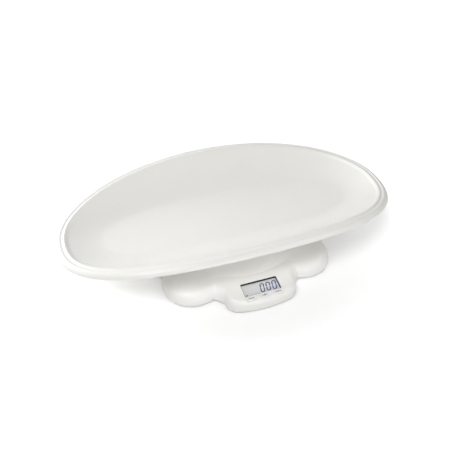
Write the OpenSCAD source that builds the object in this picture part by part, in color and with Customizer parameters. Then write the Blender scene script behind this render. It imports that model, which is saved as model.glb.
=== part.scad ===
// Digital baby weighing scale: a removable oval tray on a cloud-shaped base with
// a display, three keys, four load-cell feet and a battery box underneath.
// Front (display side) is -Y, the tray's length is X, the floor is z = 0.

/* [Tray] */
// Length of the tray over its rim
tray_len = 560; // [520:5:600]
// Width of the tray over its rim
tray_wid = 288; // [270:2:310]
// Height of the rim's crest at the two ends
rim_end_z = 65; // [62:1:74]
// Height of the rim's crest in the middle of the long sides
rim_side_z = 92; // [86:1:100]
// Squareness of the front half of the outline
front_square = 2.45; // [2:0.05:2.8]
// Squareness of the back half of the outline
back_square = 2.05; // [2:0.05:2.8]
// Distance from the outer edge to the crest
rim_w = 14; // [12:0.5:18]
// Drop from the crest to the lip's lower edge
rim_drop = 9; // [8:0.5:12]
// Thickness of the tray
tray_wall = 2.8; // [2:0.1:3.2]
// Run of the bowl's wall on the long sides
side_run = 68; // [60:1:74]
// Run of the bowl's wall at the ends
end_run = 52; // [40:1:70]
// Radius of a locating peg under the tray
peg_r = 8; // [6:0.5:9]
// Length of a locating peg
peg_h = 7; // [5:0.5:8]
// Half distance between pegs along the tray
peg_x = 58; // [50:1:62]
// Half distance between pegs across the tray
peg_y = 34; // [28:1:38]

/* [Base] */
// Reach of the front and back lobes from the centre, before blending
front_reach = 172.5; // [171:0.5:178]
// Half angle of the flat front of the centre lobe
front_half = 13.2; // [12.6:0.2:14]
// Corner radius of the front and back lobes
front_round = 19; // [17:1:22]
// Reach of the four corner lobes, before blending
corner_reach = 174.5; // [170:0.5:180]
// Radius of a corner lobe
corner_round = 39; // [37:1:42]
// Direction of the corner lobes from the front
corner_at = 44.6; // [43:0.2:46]
// Reach of the two side lobes, before blending
side_reach = 146; // [143:1:152]
// Radius of the base's middle, before blending
hub_r = 144.8; // [142:0.4:148]
// Height of the platform that carries the tray
platform_z = 46; // [43:1:50]
// Radius of the platform's flat top
platform_r = 100; // [94:1:103]
// Distance from the front lobe's reach back to the crease at the foot of the flank
crease_in = 47.5; // [46:0.5:51]
// Height of the crease
crease_z = 27; // [26:0.5:30]
// Fall of the lobes' top from the crease outwards, in degrees
console_tilt = 4; // [3:0.5:6]
// Radius of the base's upper edge
edge_r = 8; // [6:0.5:9]
// Wall of the top housing
wall = 2.5; // [2:0.1:2.8]
// Gap between the housing's lower edge and the floor
ground_gap = 3.5; // [3.5:0.5:5]
// Thickness of the bottom cover
floor_t = 2.5; // [2:0.1:3]

/* [Display and keys] */
// Width of the display window
window_w = 57.5; // [54:0.5:60]
// Depth of the display window
window_d = 23.6; // [21:0.2:24]
// Distance from the front lobe's reach back to the window's middle
window_in = 23; // [22:0.5:24.5]
// Distance between the window and the keys
key_gap = 1.9; // [1.8:0.1:2.1]
// Spacing of the keys
key_pitch = 21.3; // [20:0.1:22.5]
// Length of a key
key_len = 13.5; // [11:0.5:14]
// Width of a key
key_wid = 5.2; // [4.6:0.1:5.4]
// Height of a key above the housing
key_proud = 0.5; // [0.3:0.1:1]
// Travel of a key
key_travel = 0.5; // [0.3:0.1:0.6]
// Depth of the window lens's underside below the console
glass_deep = 3.9; // [3.9:0.1:4.3]
// Depth of the circuit board's upper face below the console
board_deep = 8.9; // [8.6:0.1:9.6]
// Thickness of the circuit board
board_t = 1.6; // [1:0.2:2]

/* [Feet] */
// Distance of a foot from the middle, left and right
foot_x = 96; // [92:1:99]
// Distance of a foot from the middle, front and back
foot_y = 98; // [94:1:101]
// Radius of a foot's plastic carrier where it shows
foot_r = 18; // [17:0.5:19]
// Radius of the rubber pad
pad_r = 14; // [11:0.5:15]
// Height of the rubber pad
pad_h = 3; // [2.5:0.1:3.4]
// Side of the square load cell
cell_w = 30; // [28:0.5:31]
// Thickness of the load cell
cell_t = 1.6; // [1.2:0.1:2]

/* [Battery box] */
// Diameter of a cell (AAA)
bat_d = 10.5; // [10:0.1:10.8]
// Length of a cell
bat_len = 44.5; // [43:0.5:45]
// Cells side by side
bat_count = 4; // [3:1:4]
// Middle of the battery box behind the centre
bat_y = 30; // [20:1:36]
// Length of a contact spring
spring_len = 4.5; // [3.5:0.1:5.5]
// Thickness of the battery door
door_t = 2; // [1.6:0.1:2.4]
// Opening angle of the battery door
door_open = 80; // [60:5:95]

/* [Fit] */
// Gap round parts that slide or lift out
slide_gap = 0.3; // [0.2:0.05:0.4]
// Gap between parts that are fitted together
fit_gap = 0.2; // [0.15:0.05:0.3]
// Radius of the housing screws' shank
screw_r = 1.5; // [1.2:0.1:1.7]

/* [Hidden] */
$fn = 48;
white = [0.95, 0.94, 0.91];
inner_white = [0.88, 0.88, 0.86];
black = [0.08, 0.08, 0.09];
steel = [0.75, 0.76, 0.78];
board_green = [0.10, 0.38, 0.22];

tray_steps = 88; // points round the tray
base_steps = 108; // points round the base
tray_a = tray_len / 2;
tray_b = tray_wid / 2;
crest_mid = (rim_side_z + rim_end_z) / 2;
crest_swing = (rim_side_z - rim_end_z) / 2;
rim_in = rim_w + 6.5; // where the rim meets the bowl's wall
rim_in_drop = 3.2;
wall_curve = 1.5;
tray_under = platform_z + slide_gap;
tray_floor = tray_under + tray_wall;

// The crease keeps its distance from the front, inside the side lobes.
crease_r = min(front_reach - crease_in, side_reach - 21, hub_r - 19.8);
window_at = front_reach - window_in; // from the centre to the window's middle
blend = 10; // how softly the lobes run together (more is sharper)
side_round = 40;
side_half = 10;
draft = 0.8; // lean of the side wall
skirt_round = 1.5;
edge_h = edge_r + 3;
flank_round = 4;
cover_top = ground_gap + floor_t;
skirt_in = skirt_round + wall + fit_gap; // outline of the bottom cover

key_at = window_d / 2 + key_gap + key_wid / 2; // from the window's middle to the keys
key_x = [-key_pitch, 0, key_pitch];
foot_at = [[-foot_x, -foot_y], [foot_x, -foot_y], [-foot_x, foot_y], [foot_x, foot_y]];

// ---- shared geometry ----

// A closed skin: a point, rings of equal count, and a point again.
module loft(first, rings, last) {
    n = len(rings[0]);
    m = len(rings);
    points = concat([first], [for (ring = rings) for (p = ring) p], [last]);
    end = m * n + 1;
    faces = concat(
        [for (i = [0 : n - 1]) [0, 1 + (i + 1) % n, 1 + i]],
        [for (k = [0 : m - 2]) for (i = [0 : n - 1])
            [1 + k * n + i, 1 + k * n + (i + 1) % n, 1 + (k + 1) * n + i]],
        [for (k = [0 : m - 2]) for (i = [0 : n - 1])
            [1 + k * n + (i + 1) % n, 1 + (k + 1) * n + (i + 1) % n, 1 + (k + 1) * n + i]],
        [for (i = [0 : n - 1]) [end, 1 + (m - 1) * n + i, 1 + (m - 1) * n + (i + 1) % n]]);
    polyhedron(points, faces);
}

module rounded_plate(w, d, r, h) {
    linear_extrude(h) rounded_shape(w, d, r);
}

module rounded_shape(w, d, r) {
    square([w - 2 * r, d], center = true);
    square([w, d - 2 * r], center = true);
    for (x = [-1, 1]) for (y = [-1, 1])
        translate([x * (w / 2 - r), y * (d / 2 - r)]) circle(r);
}

module stadium(len, wid, h) {
    linear_extrude(h) {
        square([len - wid, wid], center = true);
        for (x = [-1, 1]) translate([x * (len - wid) / 2, 0]) circle(wid / 2);
    }
}

// A tube of radius r along a list of points.
module lead(path, r, sides = 8) {
    m = len(path);
    dir = [for (i = [0 : m - 1]) unit(path[min(i + 1, m - 1)] - path[max(i - 1, 0)])];
    rings = [for (i = [0 : m - 1])
        let (u = unit(cross(dir[i], [0, 0, 1])), v = cross(u, dir[i]))
        [for (k = [0 : sides - 1]) path[i] + r * (cos(k * 360 / sides) * u + sin(k * 360 / sides) * v)]];
    loft(path[0], rings, path[m - 1]);
}

function unit(v) = v / norm(v);

// ---- tray ----

function signed_pow(v, e) = sign(v) * pow(abs(v), e);

// Point of the tray's outline at angle a, moved in by d, at height z.
function tray_point(a, d, z) =
    let (square = sin(a) < 0 ? front_square : back_square)
    [(tray_a - d) * signed_pow(cos(a), 2 / square), (tray_b - d) * signed_pow(sin(a), 2 / square), z];

function crest_z(a) = crest_mid - crest_swing * cos(2 * a);

function bowl_run(a) = side_run + (end_run - side_run) * cos(a) * cos(a);

// Upper face of the bowl's wall, from the floor (f = 0) to the rim (f = 1), as [inset, height].
function bowl_at(a, f) = [
    rim_in + bowl_run(a) * (1 - f),
    tray_floor + (crest_z(a) - rim_in_drop - tray_floor) * pow(f, wall_curve)];

// The rim from the bowl's wall over the crest to the lip, as [inset, drop below the crest].
rim_over = [[rim_w + 3.2, 1.0], [rim_w, 0], [rim_w * 0.66, 0.5], [rim_w * 0.38, 1.7],
    [rim_w * 0.17, 3.6], [rim_w * 0.04, 5.8], [0, rim_drop - 1.4], [0.4, rim_drop - 0.4],
    [1.4, rim_drop]];
rim_under = [[2.4, rim_drop - 0.4], [tray_wall + 0.1, rim_drop - 1.5], [rim_w * 0.3 + 0.6, 5.2],
    [rim_w * 0.5, 3.9], [rim_w * 0.75, tray_wall + 0.3], [rim_w, tray_wall],
    [rim_w + 2.1, tray_wall + 0.9]];

wall_steps = 7;

// Lower face of the bowl's wall: the upper face moved out square to itself.
function bowl_under(a, f) =
    let (p = bowl_at(a, f), q = bowl_at(a, min(f + 0.05, 1)), o = bowl_at(a, max(f - 0.05, 0)),
        slope = f == 0 ? 0 : atan2(q[1] - o[1], o[0] - q[0]))
    [p[0] - tray_wall * sin(slope), p[1] - tray_wall * cos(slope)];

function tray_ring(points) = [for (i = [0 : tray_steps - 1])
    let (a = i * 360 / tray_steps, p = points[i]) tray_point(a, p[0], p[1])];

function tray_angles() = [for (i = [0 : tray_steps - 1]) i * 360 / tray_steps];

tray_rings = concat(
    [for (k = [0 : wall_steps]) tray_ring([for (a = tray_angles()) bowl_at(a, k / wall_steps)])],
    [for (p = rim_over) tray_ring([for (a = tray_angles()) [p[0], crest_z(a) - p[1]]])],
    [for (p = rim_under) tray_ring([for (a = tray_angles()) [p[0], crest_z(a) - p[1]]])],
    [for (k = [wall_steps : -1 : 0]) tray_ring([for (a = tray_angles()) bowl_under(a, k / wall_steps)])]);

module tray_pegs() {
    for (x = [-1, 1]) for (y = [-1, 1])
        translate([x * peg_x, y * peg_y, tray_under - peg_h]) difference() {
            cylinder(r = peg_r, h = peg_h + tray_wall / 2);
            translate([0, 0, -1]) cylinder(r = peg_r - tray_wall, h = peg_h + 1);
        }
}

module tray() {
    color(white) {
        loft([0, 0, tray_floor], tray_rings, [0, 0, tray_under]);
        tray_pegs();
    }
}

// ---- base outline ----

function turn(a, b) = abs((a - b + 540) % 360 - 180);

// How far a lobe reaches at angle a: a circle of radius q, swept over +-half about its middle.
function lobe(a, at, half, reach, q) =
    let (d = max(0, turn(a, at) - half), rho = reach - q, s = rho * sin(min(d, 90)))
    d > 60 ? 0 : s < q ? rho * cos(d) + sqrt(q * q - s * s) : max(0, rho * cos(d) - (s - q));

lobes = concat(
    [for (at = [0, 180]) [at, front_half, front_reach, front_round]],
    [for (at = [corner_at, 180 - corner_at, 180 + corner_at, 360 - corner_at])
        [at, 0, corner_reach, corner_round]],
    [for (at = [90, 270]) [at, side_half, side_reach, side_round]]);

function total(v, i = 0) = i < len(v) ? v[i] + total(v, i + 1) : 0;

// Outline of the base at angle a from the front.
function outline(a) = pow(pow(hub_r, blend)
    + total([for (l = lobes) pow(lobe(a, l[0], l[1], l[2], l[3]), blend)]), 1 / blend);

base_angles = [for (i = [0 : base_steps - 1]) i * 360 / base_steps];
base_outline = [for (a = base_angles) outline(a)];

function at_angle(a, r) = [r * sin(a), -r * cos(a)];

module base_shape(inset) {
    polygon([for (i = [0 : base_steps - 1]) at_angle(base_angles[i], base_outline[i] - inset)]);
}

// ---- top housing ----

function console_z(r) = crease_z - (r - crease_r) * tan(console_tilt);

// Height of the upper face at radius r, inside the rounded edge.
function top_z(r) = r < platform_r ? platform_z
    : r < crease_r ? platform_z + (r - platform_r) / (crease_r - platform_r) * (crease_z - platform_z)
    : console_z(r);

// Half width over which the flank runs into the lobes' top: a crease at the front
// and back, a soft hollow towards the corners and sides.
function crease_soft(a, edge) = let (u = min(1, max(0, (min(turn(a, 0), turn(a, 180)) - 13) / 14)))
    min(0.5 + 19 * u * u * (3 - 2 * u), crease_r - platform_r - flank_round - 1, edge - crease_r - 1);

// Section of the housing at angle a: [radius, height], moved in by t.
function housing_section(a, t) =
    let (r = outline(a), edge = r - draft - edge_r, ez = console_z(edge), w = crease_soft(a, edge),
        slope = atan2(platform_z - crease_z, crease_r - platform_r),
        p = [crease_r - w, top_z(crease_r - w)], q = [crease_r, crease_z],
        s = [crease_r + w, console_z(crease_r + w)])
    concat(
        [[platform_r - flank_round - t * tan(slope / 2), platform_z - t],
            [platform_r + 0.3 - t * sin(slope / 2), platform_z - 0.55 - t * cos(slope / 2)],
            [platform_r + flank_round - t * sin(slope), top_z(platform_r + flank_round) - t * cos(slope)]],
        [for (k = [0 : 4]) let (u = k / 4, g = slope + (console_tilt - slope) * u)
            (1 - u) * (1 - u) * p + 2 * u * (1 - u) * q + u * u * s - t * [sin(g), cos(g)]],
        [for (k = [0 : 4]) let (b = k * 22.5)
            [edge + (edge_r - t) * sin(b), ez - edge_h + (edge_h - t) * cos(b)]],
        [[r - t, ground_gap + 3.5], [r - skirt_round - t, ground_gap]]);

housing_outer = [for (a = base_angles) housing_section(a, 0)];
housing_inner = [for (a = base_angles) housing_section(a, wall)];

function housing_ring(sections, k) = [for (i = [0 : base_steps - 1])
    let (p = sections[i][k], q = at_angle(base_angles[i], p[0])) [q[0], q[1], p[1]]];

module housing_shell() {
    last = len(housing_outer[0]) - 1;
    rings = concat(
        [for (k = [0 : last]) housing_ring(housing_outer, k)],
        [for (k = [last : -1 : 0]) housing_ring(housing_inner, k)]);
    loft([0, 0, platform_z], rings, [0, 0, platform_z - wall]);
}

// The console's own frame: z = 0 on the surface at the window's middle, y along the slope.
module on_console() {
    translate([0, -window_at, console_z(window_at)]) rotate([console_tilt, 0, 0]) children();
}

socket_wall = 2;
socket_r = peg_r + slide_gap;
socket_deep = peg_h + 1;

module peg_positions() {
    for (x = [-1, 1]) for (y = [-1, 1]) translate([x * peg_x, y * peg_y, 0]) children();
}

boss_r = 4;
boss_x = 26;
boss_side = side_reach - 12;
boss_at = concat(
    [for (x = [boss_x, -boss_x]) [x, 29.5 - window_at]],
    [for (x = [boss_side, -boss_side]) [x, 0]],
    [for (x = [boss_x, -boss_x]) [x, front_reach - 22.5]],
    [[0, 23 - crease_r], [0, crease_r - 13]]);
boss_low = cover_top + 4; // where the housing's bosses meet the cover's

// Depth that a boss's top goes below the surface, so that it ends inside the wall.
function boss_top(p) = top_z(norm(p) + boss_r) - wall / 2;

rib_end = min(hub_r - 14, window_at - 18.7); // clear of the circuit board

module rib(at) {
    bite = wall / 2;
    rotate([0, 0, at]) rotate([90, 0, 0]) linear_extrude(1.8, center = true) polygon([
        [platform_r, platform_z - bite - 14], [platform_r, platform_z - bite],
        [crease_r, crease_z - bite], [rib_end, console_z(rib_end) - bite],
        [rib_end, boss_low + 3]]);
}

post_r = 2.6;
board_post_x = window_w / 2 + 2.7 + post_r + 1.6;
board_posts = [[board_post_x, -8], [-board_post_x, -8], [board_post_x, 12], [-board_post_x, 12]];
cell_z = 9; // underside of the load cells
bump_h = 1;
load_post_low = cell_z + cell_t + bump_h + fit_gap;

module housing_posts() {
    for (p = boss_at) translate([p[0], p[1], boss_low]) cylinder(r = boss_r, h = boss_top(p) - boss_low);
    for (p = foot_at) translate([p[0], p[1], load_post_low])
        cylinder(r = 5, h = top_z(norm(p) + 5) - wall / 2 - load_post_low);
    on_console() for (p = board_posts)
        translate([p[0], p[1], -board_deep]) cylinder(r = post_r, h = board_deep - wall * 0.7);
    peg_positions() translate([0, 0, platform_z - socket_deep - socket_wall])
        cylinder(r = socket_r + socket_wall, h = socket_deep + socket_wall - wall / 2);
    difference() {
        translate([0, 0, platform_z - 12]) cylinder(r = platform_r - 4, h = 12 - wall / 2);
        translate([0, 0, platform_z - 13]) cylinder(r = platform_r - 6, h = 14);
    }
    for (at = [15 : 30 : 345]) rib(at);
}

module top_housing() {
    color(white) difference() {
        union() {
            housing_shell();
            housing_posts();
        }
        peg_positions() translate([0, 0, platform_z - socket_deep])
            cylinder(r = socket_r, h = socket_deep + 1);
        for (p = boss_at) translate([p[0], p[1], boss_low - 1]) cylinder(r = screw_r - 0.2, h = 9);
        on_console() {
            translate([0, 0, -wall - 2]) rounded_plate(window_w, window_d, 1, wall + 4);
            for (x = key_x) translate([x, -key_at, -wall - 2])
                stadium(key_len + 2 * slide_gap, key_wid + 2 * slide_gap, wall + 4);
            for (p = board_posts) translate([p[0], p[1], -board_deep - 1]) cylinder(r = 0.9, h = 5);
        }
    }
}

// ---- bottom cover ----

collar_t = 2;
foot_hole = foot_r + 2 * slide_gap;
flange_r = foot_r + 3.5;
collar_r = flange_r + slide_gap + collar_t;
screw_head = 3;

// Battery box, measured inside.
box_x = bat_count * (bat_d + 0.5) + 1;
contact_t = 0.5;
box_y = bat_len + spring_len + 2 * contact_t + 0.1;
box_wall = 2;
lip = 1.5; // ledge that the door's edge and hooks meet
hook_w = 6;
hook_in = 1.2; // how far a hook reaches over the ledge
hook_x = [-13, 13];
tab_a = 1; // cells whose front contacts have solder tabs
tab_b = 2;
door_seat = ground_gap + door_t + fit_gap;
ledge_t = 1.3;
hook_z = door_seat + ledge_t + 0.5; // underside of the hooks
hook_t = 1.2;
bat_z = hook_z + hook_t + 0.4 + bat_d / 2;
box_top = bat_z + bat_d / 2 + 0.6;

module cover_plate() {
    translate([0, 0, ground_gap]) linear_extrude(floor_t) base_shape(skirt_in);
    translate([0, 0, cover_top]) linear_extrude(5) difference() {
        base_shape(skirt_in + fit_gap);
        base_shape(skirt_in + fit_gap + 1.8);
    }
}

module bottom_cover() {
    color(white) difference() {
        union() {
            cover_plate();
            for (p = foot_at) translate([p[0], p[1], ground_gap]) cylinder(r = collar_r, h = 9);
            for (p = boss_at) translate([p[0], p[1], ground_gap])
                cylinder(r = boss_r + 1.4, h = boss_low - ground_gap);
            translate([-box_x / 2 - box_wall, bat_y - box_y / 2 - box_wall, ground_gap])
                cube([box_x + 2 * box_wall, box_y + 2 * box_wall, box_top - ground_gap + box_wall]);
            translate([-box_x / 2 - lip - 2.5, bat_y - box_y / 2 - lip - 2.5, ground_gap])
                cube([box_x + 2 * lip + 5, box_y + 2 * lip + 5, door_seat + ledge_t - ground_gap]);
            for (a = [0 : 45 : 315]) rotate([0, 0, a]) translate([72, -1, ground_gap])
                cube([32, 2, floor_t + 3]);
        }
        for (p = foot_at) translate([p[0], p[1], 0]) {
            cylinder(r = foot_hole, h = 20);
            translate([0, 0, cover_top]) cylinder(r = flange_r + slide_gap, h = 20);
        }
        for (p = boss_at) translate([p[0], p[1], 0]) {
            cylinder(r = screw_head + 0.3, h = ground_gap + 3);
            cylinder(r = screw_r + 0.2, h = 20);
        }
        translate([-box_x / 2, bat_y - box_y / 2, 0]) cube([box_x, box_y, box_top]);
        translate([-box_x / 2 - lip, bat_y - box_y / 2 - lip, 0])
            cube([box_x + 2 * lip, box_y + 2 * lip, door_seat]);
        // Slots over the ledge for the door's hooks.
        for (x = hook_x) translate([x - hook_w / 2 - 0.4, bat_y + box_y / 2 - 1, door_seat + ledge_t])
            cube([hook_w + 0.8, 1 + hook_in + 0.4, 2.8]);
        // Slots for the two solder tabs.
        for (i = [tab_a, tab_b]) translate([bat_x(i) - 1.6, bat_front - box_wall - 1, bat_z - 4.3])
            cube([3.2, box_wall + 2, 1.2]);
    }
}

module housing_screws() {
    head_z = ground_gap + 3;
    color(steel) for (p = boss_at) translate([p[0], p[1], 0]) difference() {
        union() {
            translate([0, 0, head_z - 2.2]) cylinder(r = screw_head, h = 2.2);
            translate([0, 0, head_z - 0.2]) cylinder(r = screw_r - 0.25, h = boss_low - head_z + 7);
        }
        translate([0, 0, head_z - 2.5]) for (a = [0, 90]) rotate([0, 0, a])
            translate([-1.8, -0.4, 0]) cube([3.6, 0.8, 1.4]);
    }
}

// ---- display ----

bezel_t = 0.7;
lens_t = 0.6;
flange_top = -wall - 0.35; // what lies under the console clears its slight curve
glass_w = window_w + 2;
glass_t = 2.2;
near_lap = 0.6; // how far the glass passes under the window's near edge
far_lap = 3.4; // and under its far edge, where its contacts are
glass_d = window_d + near_lap + far_lap;
glass_y = (far_lap - near_lap) / 2; // middle of the glass
holder_w = glass_w + 3.4;
holder_near = window_d / 2 + key_gap - slide_gap; // near edge of the display's holder
holder_far = window_d / 2 + far_lap + 1.4;
holder_d = holder_near + holder_far;
holder_y = (holder_far - holder_near) / 2;

opening_w = window_w - 2 * fit_gap - 2 * bezel_t;
opening_d = window_d - 2 * fit_gap - 2 * bezel_t;

module window_bezel() {
    color(black) on_console() difference() {
        union() {
            translate([0, 0, flange_top])
                rounded_plate(window_w - 2 * fit_gap, window_d - 2 * fit_gap, 0.8, wall);
            translate([0, holder_y, -glass_deep])
                rounded_plate(holder_w, holder_d, 0.6, glass_deep + flange_top);
        }
        translate([0, 0, -glass_deep - 1])
            rounded_plate(opening_w, opening_d, 0.4, 20);
        translate([0, 0, -glass_deep - 0.1])
            rounded_plate(glass_w, window_d + 2 * near_lap, 0.6, lens_t + 0.1 + fit_gap / 2);
    }
}

module window_lens() {
    color([0.9, 0.95, 1, 0.35]) on_console() translate([0, 0, -glass_deep])
        rounded_plate(glass_w - 2 * fit_gap, window_d + 2 * near_lap - 2 * fit_gap, 0.5, lens_t);
}

module lcd_glass() {
    color([0.62, 0.66, 0.66]) on_console() translate([0, glass_y, -glass_deep - fit_gap - glass_t])
        rounded_plate(glass_w, glass_d, 0.4, glass_t);
}

module lcd_holder() {
    top = -glass_deep - fit_gap;
    color(inner_white) on_console() difference() {
        translate([0, holder_y, -board_deep]) rounded_plate(holder_w, holder_d, 0.6, board_deep + top);
        translate([0, glass_y, top - glass_t - fit_gap])
            rounded_plate(glass_w + 2 * fit_gap, glass_d + 2 * fit_gap, 0.4, 10);
        translate([0, glass_y, -board_deep - 1]) rounded_plate(glass_w - 3, glass_d - 2.4, 0.5, 10);
    }
}

module contact_strip() {
    top = -glass_deep - fit_gap - glass_t;
    color([0.75, 0.55, 0.5]) on_console()
        translate([-(glass_w - 5) / 2, window_d / 2 + far_lap - 3.8, -board_deep])
            cube([glass_w - 5, 2.4, board_deep + top]);
}

module circuit_board() {
    front = -key_at - case_w / 2 - 0.8;
    back = holder_far + 0.6;
    side = board_post_x + 3.8;
    nose = key_pitch + case_w + 1.5;
    color(board_green) on_console() difference() {
        translate([0, 0, -board_deep - board_t]) linear_extrude(board_t) polygon([
            [-nose, front], [nose, front], [side, front + 8], [side, back], [-side, back],
            [-side, front + 8]]);
        for (p = board_posts) translate([p[0], p[1], -board_deep - board_t - 1])
            cylinder(r = 1.3, h = board_t + 2);
    }
}

module board_screws() {
    color(steel) on_console() for (p = board_posts) translate([p[0], p[1], -board_deep - board_t])
        difference() {
            union() {
                translate([0, 0, -1.6]) cylinder(r = 2.2, h = 1.6);
                cylinder(r = 0.85, h = board_t + 3.5);
            }
            translate([0, 0, -1.8]) for (a = [0, 90]) rotate([0, 0, a])
                translate([-1.3, -0.3, 0]) cube([2.6, 0.6, 1]);
        }
}

// ---- keys ----

case_w = 5.2;
case_h = 3.5;
plunger_r = 1.7;
plunger_gap = 0.1;
flange_t = 0.8;
key_low = -wall - 0.4 - flange_t; // underside of a key at rest
plunger_low = key_low - (board_deep - case_h + key_low) - 1.8;

module key(i) {
    color(white) on_console() translate([key_x[i], -key_at, 0]) {
        translate([0, 0, key_low]) stadium(key_len, key_wid, key_proud - key_low);
        translate([0, key_wid / 4, key_low]) stadium(key_len + 2.4, key_wid / 2, flange_t);
    }
}

module key_left() {
    key(0);
}

module key_middle() {
    key(1);
}

module key_right() {
    key(2);
}

module plunger(i) {
    color(black) on_console() translate([key_x[i], -key_at, plunger_low])
        cylinder(r = plunger_r, h = key_low - plunger_low);
}

module plunger_left() {
    plunger(0);
}

module plunger_middle() {
    plunger(1);
}

module plunger_right() {
    plunger(2);
}

module switch_cases() {
    color(steel) on_console() for (x = key_x) translate([x, -key_at, -board_deep]) difference() {
        rounded_plate(case_w, case_w, 0.5, case_h);
        translate([0, 0, plunger_low + board_deep - key_travel - 0.2])
            cylinder(r = plunger_r + plunger_gap, h = case_h);
    }
}

// ---- feet ----

foot_low = 1.5;
cup_r = cell_w * 0.65;

module foot(i) {
    color(inner_white) translate([foot_at[i][0], foot_at[i][1], 0]) difference() {
        rotate_extrude() polygon([
            [0, pad_h], [pad_r + fit_gap, pad_h], [pad_r + fit_gap, foot_low], [foot_r - 1, foot_low],
            [foot_r, foot_low + 1], [foot_r, cover_top + fit_gap], [flange_r, cover_top + fit_gap],
            [flange_r, cell_z + 1], [cup_r, cell_z + 1], [cup_r, cell_z], [8, cell_z], [8, cell_z - 2.5],
            [0, cell_z - 2.5]]);
    }
}

module foot_fl() {
    foot(0);
}

module foot_fr() {
    foot(1);
}

module foot_rl() {
    foot(2);
}

module foot_rr() {
    foot(3);
}

module foot_pad(i) {
    color(black) translate([foot_at[i][0], foot_at[i][1], 0]) rotate_extrude() polygon([
        [0, 0], [pad_r - 1, 0], [pad_r, 1], [pad_r, pad_h], [0, pad_h]]);
}

module foot_pad_fl() {
    foot_pad(0);
}

module foot_pad_fr() {
    foot_pad(1);
}

module foot_pad_rl() {
    foot_pad(2);
}

module foot_pad_rr() {
    foot_pad(3);
}

// A steel plate with a tongue cut free on three sides and a bump that takes the load.
module load_cell(i) {
    slot = 1.6;
    tongue = cell_w * 0.34;
    reach = cell_w * 0.62;
    color(steel) translate([foot_at[i][0], foot_at[i][1], cell_z]) {
        difference() {
            rounded_plate(cell_w, cell_w, 6, cell_t);
            for (x = [-1, 1]) translate([x * (tongue + slot) / 2 - slot / 2, -reach / 2, -1])
                cube([slot, reach, cell_t + 2]);
            translate([-tongue / 2 - slot, reach / 2 - slot, -1]) cube([tongue + 2 * slot, slot, cell_t + 2]);
        }
        cylinder(r = 3, h = cell_t + bump_h);
    }
}

module load_cell_fl() {
    load_cell(0);
}

module load_cell_fr() {
    load_cell(1);
}

module load_cell_rl() {
    load_cell(2);
}

module load_cell_rr() {
    load_cell(3);
}

// ---- batteries ----

bat_pitch = box_x / bat_count;
bat_front = bat_y - box_y / 2;

function bat_x(i) = -box_x / 2 + bat_pitch * (i + 0.5);

// Even cells point forwards, odd cells point back.
function forward(i) = i % 2 == 0;

module battery(i) {
    cup = 1;
    nub_r = 1.9;
    body = bat_len - cup;
    low = bat_front + contact_t + (forward(i) ? 0 : spring_len);
    color([0.80, 0.80, 0.78]) if (i < bat_count)
        translate([bat_x(i), forward(i) ? low : low + bat_len, bat_z]) rotate([forward(i) ? -90 : 90, 0, 0])
            rotate_extrude() polygon([[0, 0], [nub_r, 0], [nub_r, cup], [bat_d / 2 - 0.4, cup],
                [bat_d / 2, cup + 0.4], [bat_d / 2, cup + body - 0.4], [bat_d / 2 - 0.4, cup + body],
                [0, cup + body]]);
}

module battery_1() {
    battery(0);
}

module battery_2() {
    battery(1);
}

module battery_3() {
    battery(2);
}

module battery_4() {
    battery(3);
}

// A conical spring standing on z = 0.
module spring() {
    turns = 3;
    steps = 10;
    wire = 0.4;
    lead([for (k = [0 : turns * steps])
        let (u = k / (turns * steps), r = 3.7 - 1.5 * u, a = k * 360 / steps)
        [r * cos(a), r * sin(a), wire + (spring_len - 2 * wire) * u]], wire, 5);
}

module battery_springs() {
    color(steel) for (i = [0 : bat_count - 1])
        translate([bat_x(i), forward(i) ? bat_front + box_y - contact_t : bat_front + contact_t, bat_z])
            rotate([forward(i) ? 90 : -90, 0, 0]) spring();
}

tab_len = box_wall + 2.6;

module battery_contacts() {
    color(steel) {
        for (i = [0 : bat_count - 1]) for (y = [bat_front, bat_front + box_y - contact_t])
            translate([bat_x(i) - 4.2, y, bat_z - 4]) cube([8.4, contact_t, 8]);
        for (i = [tab_a, tab_b]) translate([bat_x(i) - 1.2, bat_front - tab_len, bat_z - 4])
            cube([2.4, tab_len + contact_t / 2, 0.6]);
    }
}

door_gap = 0.4;
door_back = bat_y + box_y / 2 + lip - door_gap; // hinged edge of the door
door_front = bat_y - box_y / 2 - lip + door_gap;
door_half = box_x / 2 + lip - door_gap;

module battery_door() {
    inside = bat_y + box_y / 2 - 0.5; // back of the hooks' legs
    round_r = door_t / 2; // the hinged edge is round about the joint's axis
    color(white) difference() {
        union() {
            translate([-door_half, door_front, ground_gap])
                cube([2 * door_half, door_back - round_r - door_front, door_t]);
            translate([-door_half, door_back - round_r, ground_gap + round_r]) rotate([0, 90, 0])
                cylinder(r = round_r, h = 2 * door_half);
            for (x = hook_x) translate([x - hook_w / 2, inside - 1.6, ground_gap + round_r]) {
                cube([hook_w, 1.6, hook_z + hook_t - ground_gap - round_r]);
                translate([0, 0, hook_z - ground_gap - round_r]) cube([hook_w, 2.1 + hook_in, hook_t]);
            }
            translate([-5, bat_y - box_y / 2 + 0.7, ground_gap + round_r]) cube([10, 1.2, round_r + 2.6]);
            // Ribs that hold the cells up.
            for (y = [-1, 1]) translate([1 - box_x / 2, bat_y + y * bat_len / 4, ground_gap + round_r])
                cube([box_x - 2, 1.2, bat_z - bat_d / 2 - 0.2 - ground_gap - round_r]);
        }
        translate([-7, door_front + 3.5, ground_gap - 1]) cube([14, 1.2, 1.8]);
        translate([-7, door_front + 6.2, ground_gap - 1]) cube([14, 1.2, 1.8]);
    }
}

// ---- wiring ----

lead_r = 1.2;
lead_z = cover_top + fit_gap + lead_r;
over_z = ground_gap + 9 + 0.4 + lead_r; // over the collar round a foot
start_z = cell_z + cell_t + 0.1 + lead_r;

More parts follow.
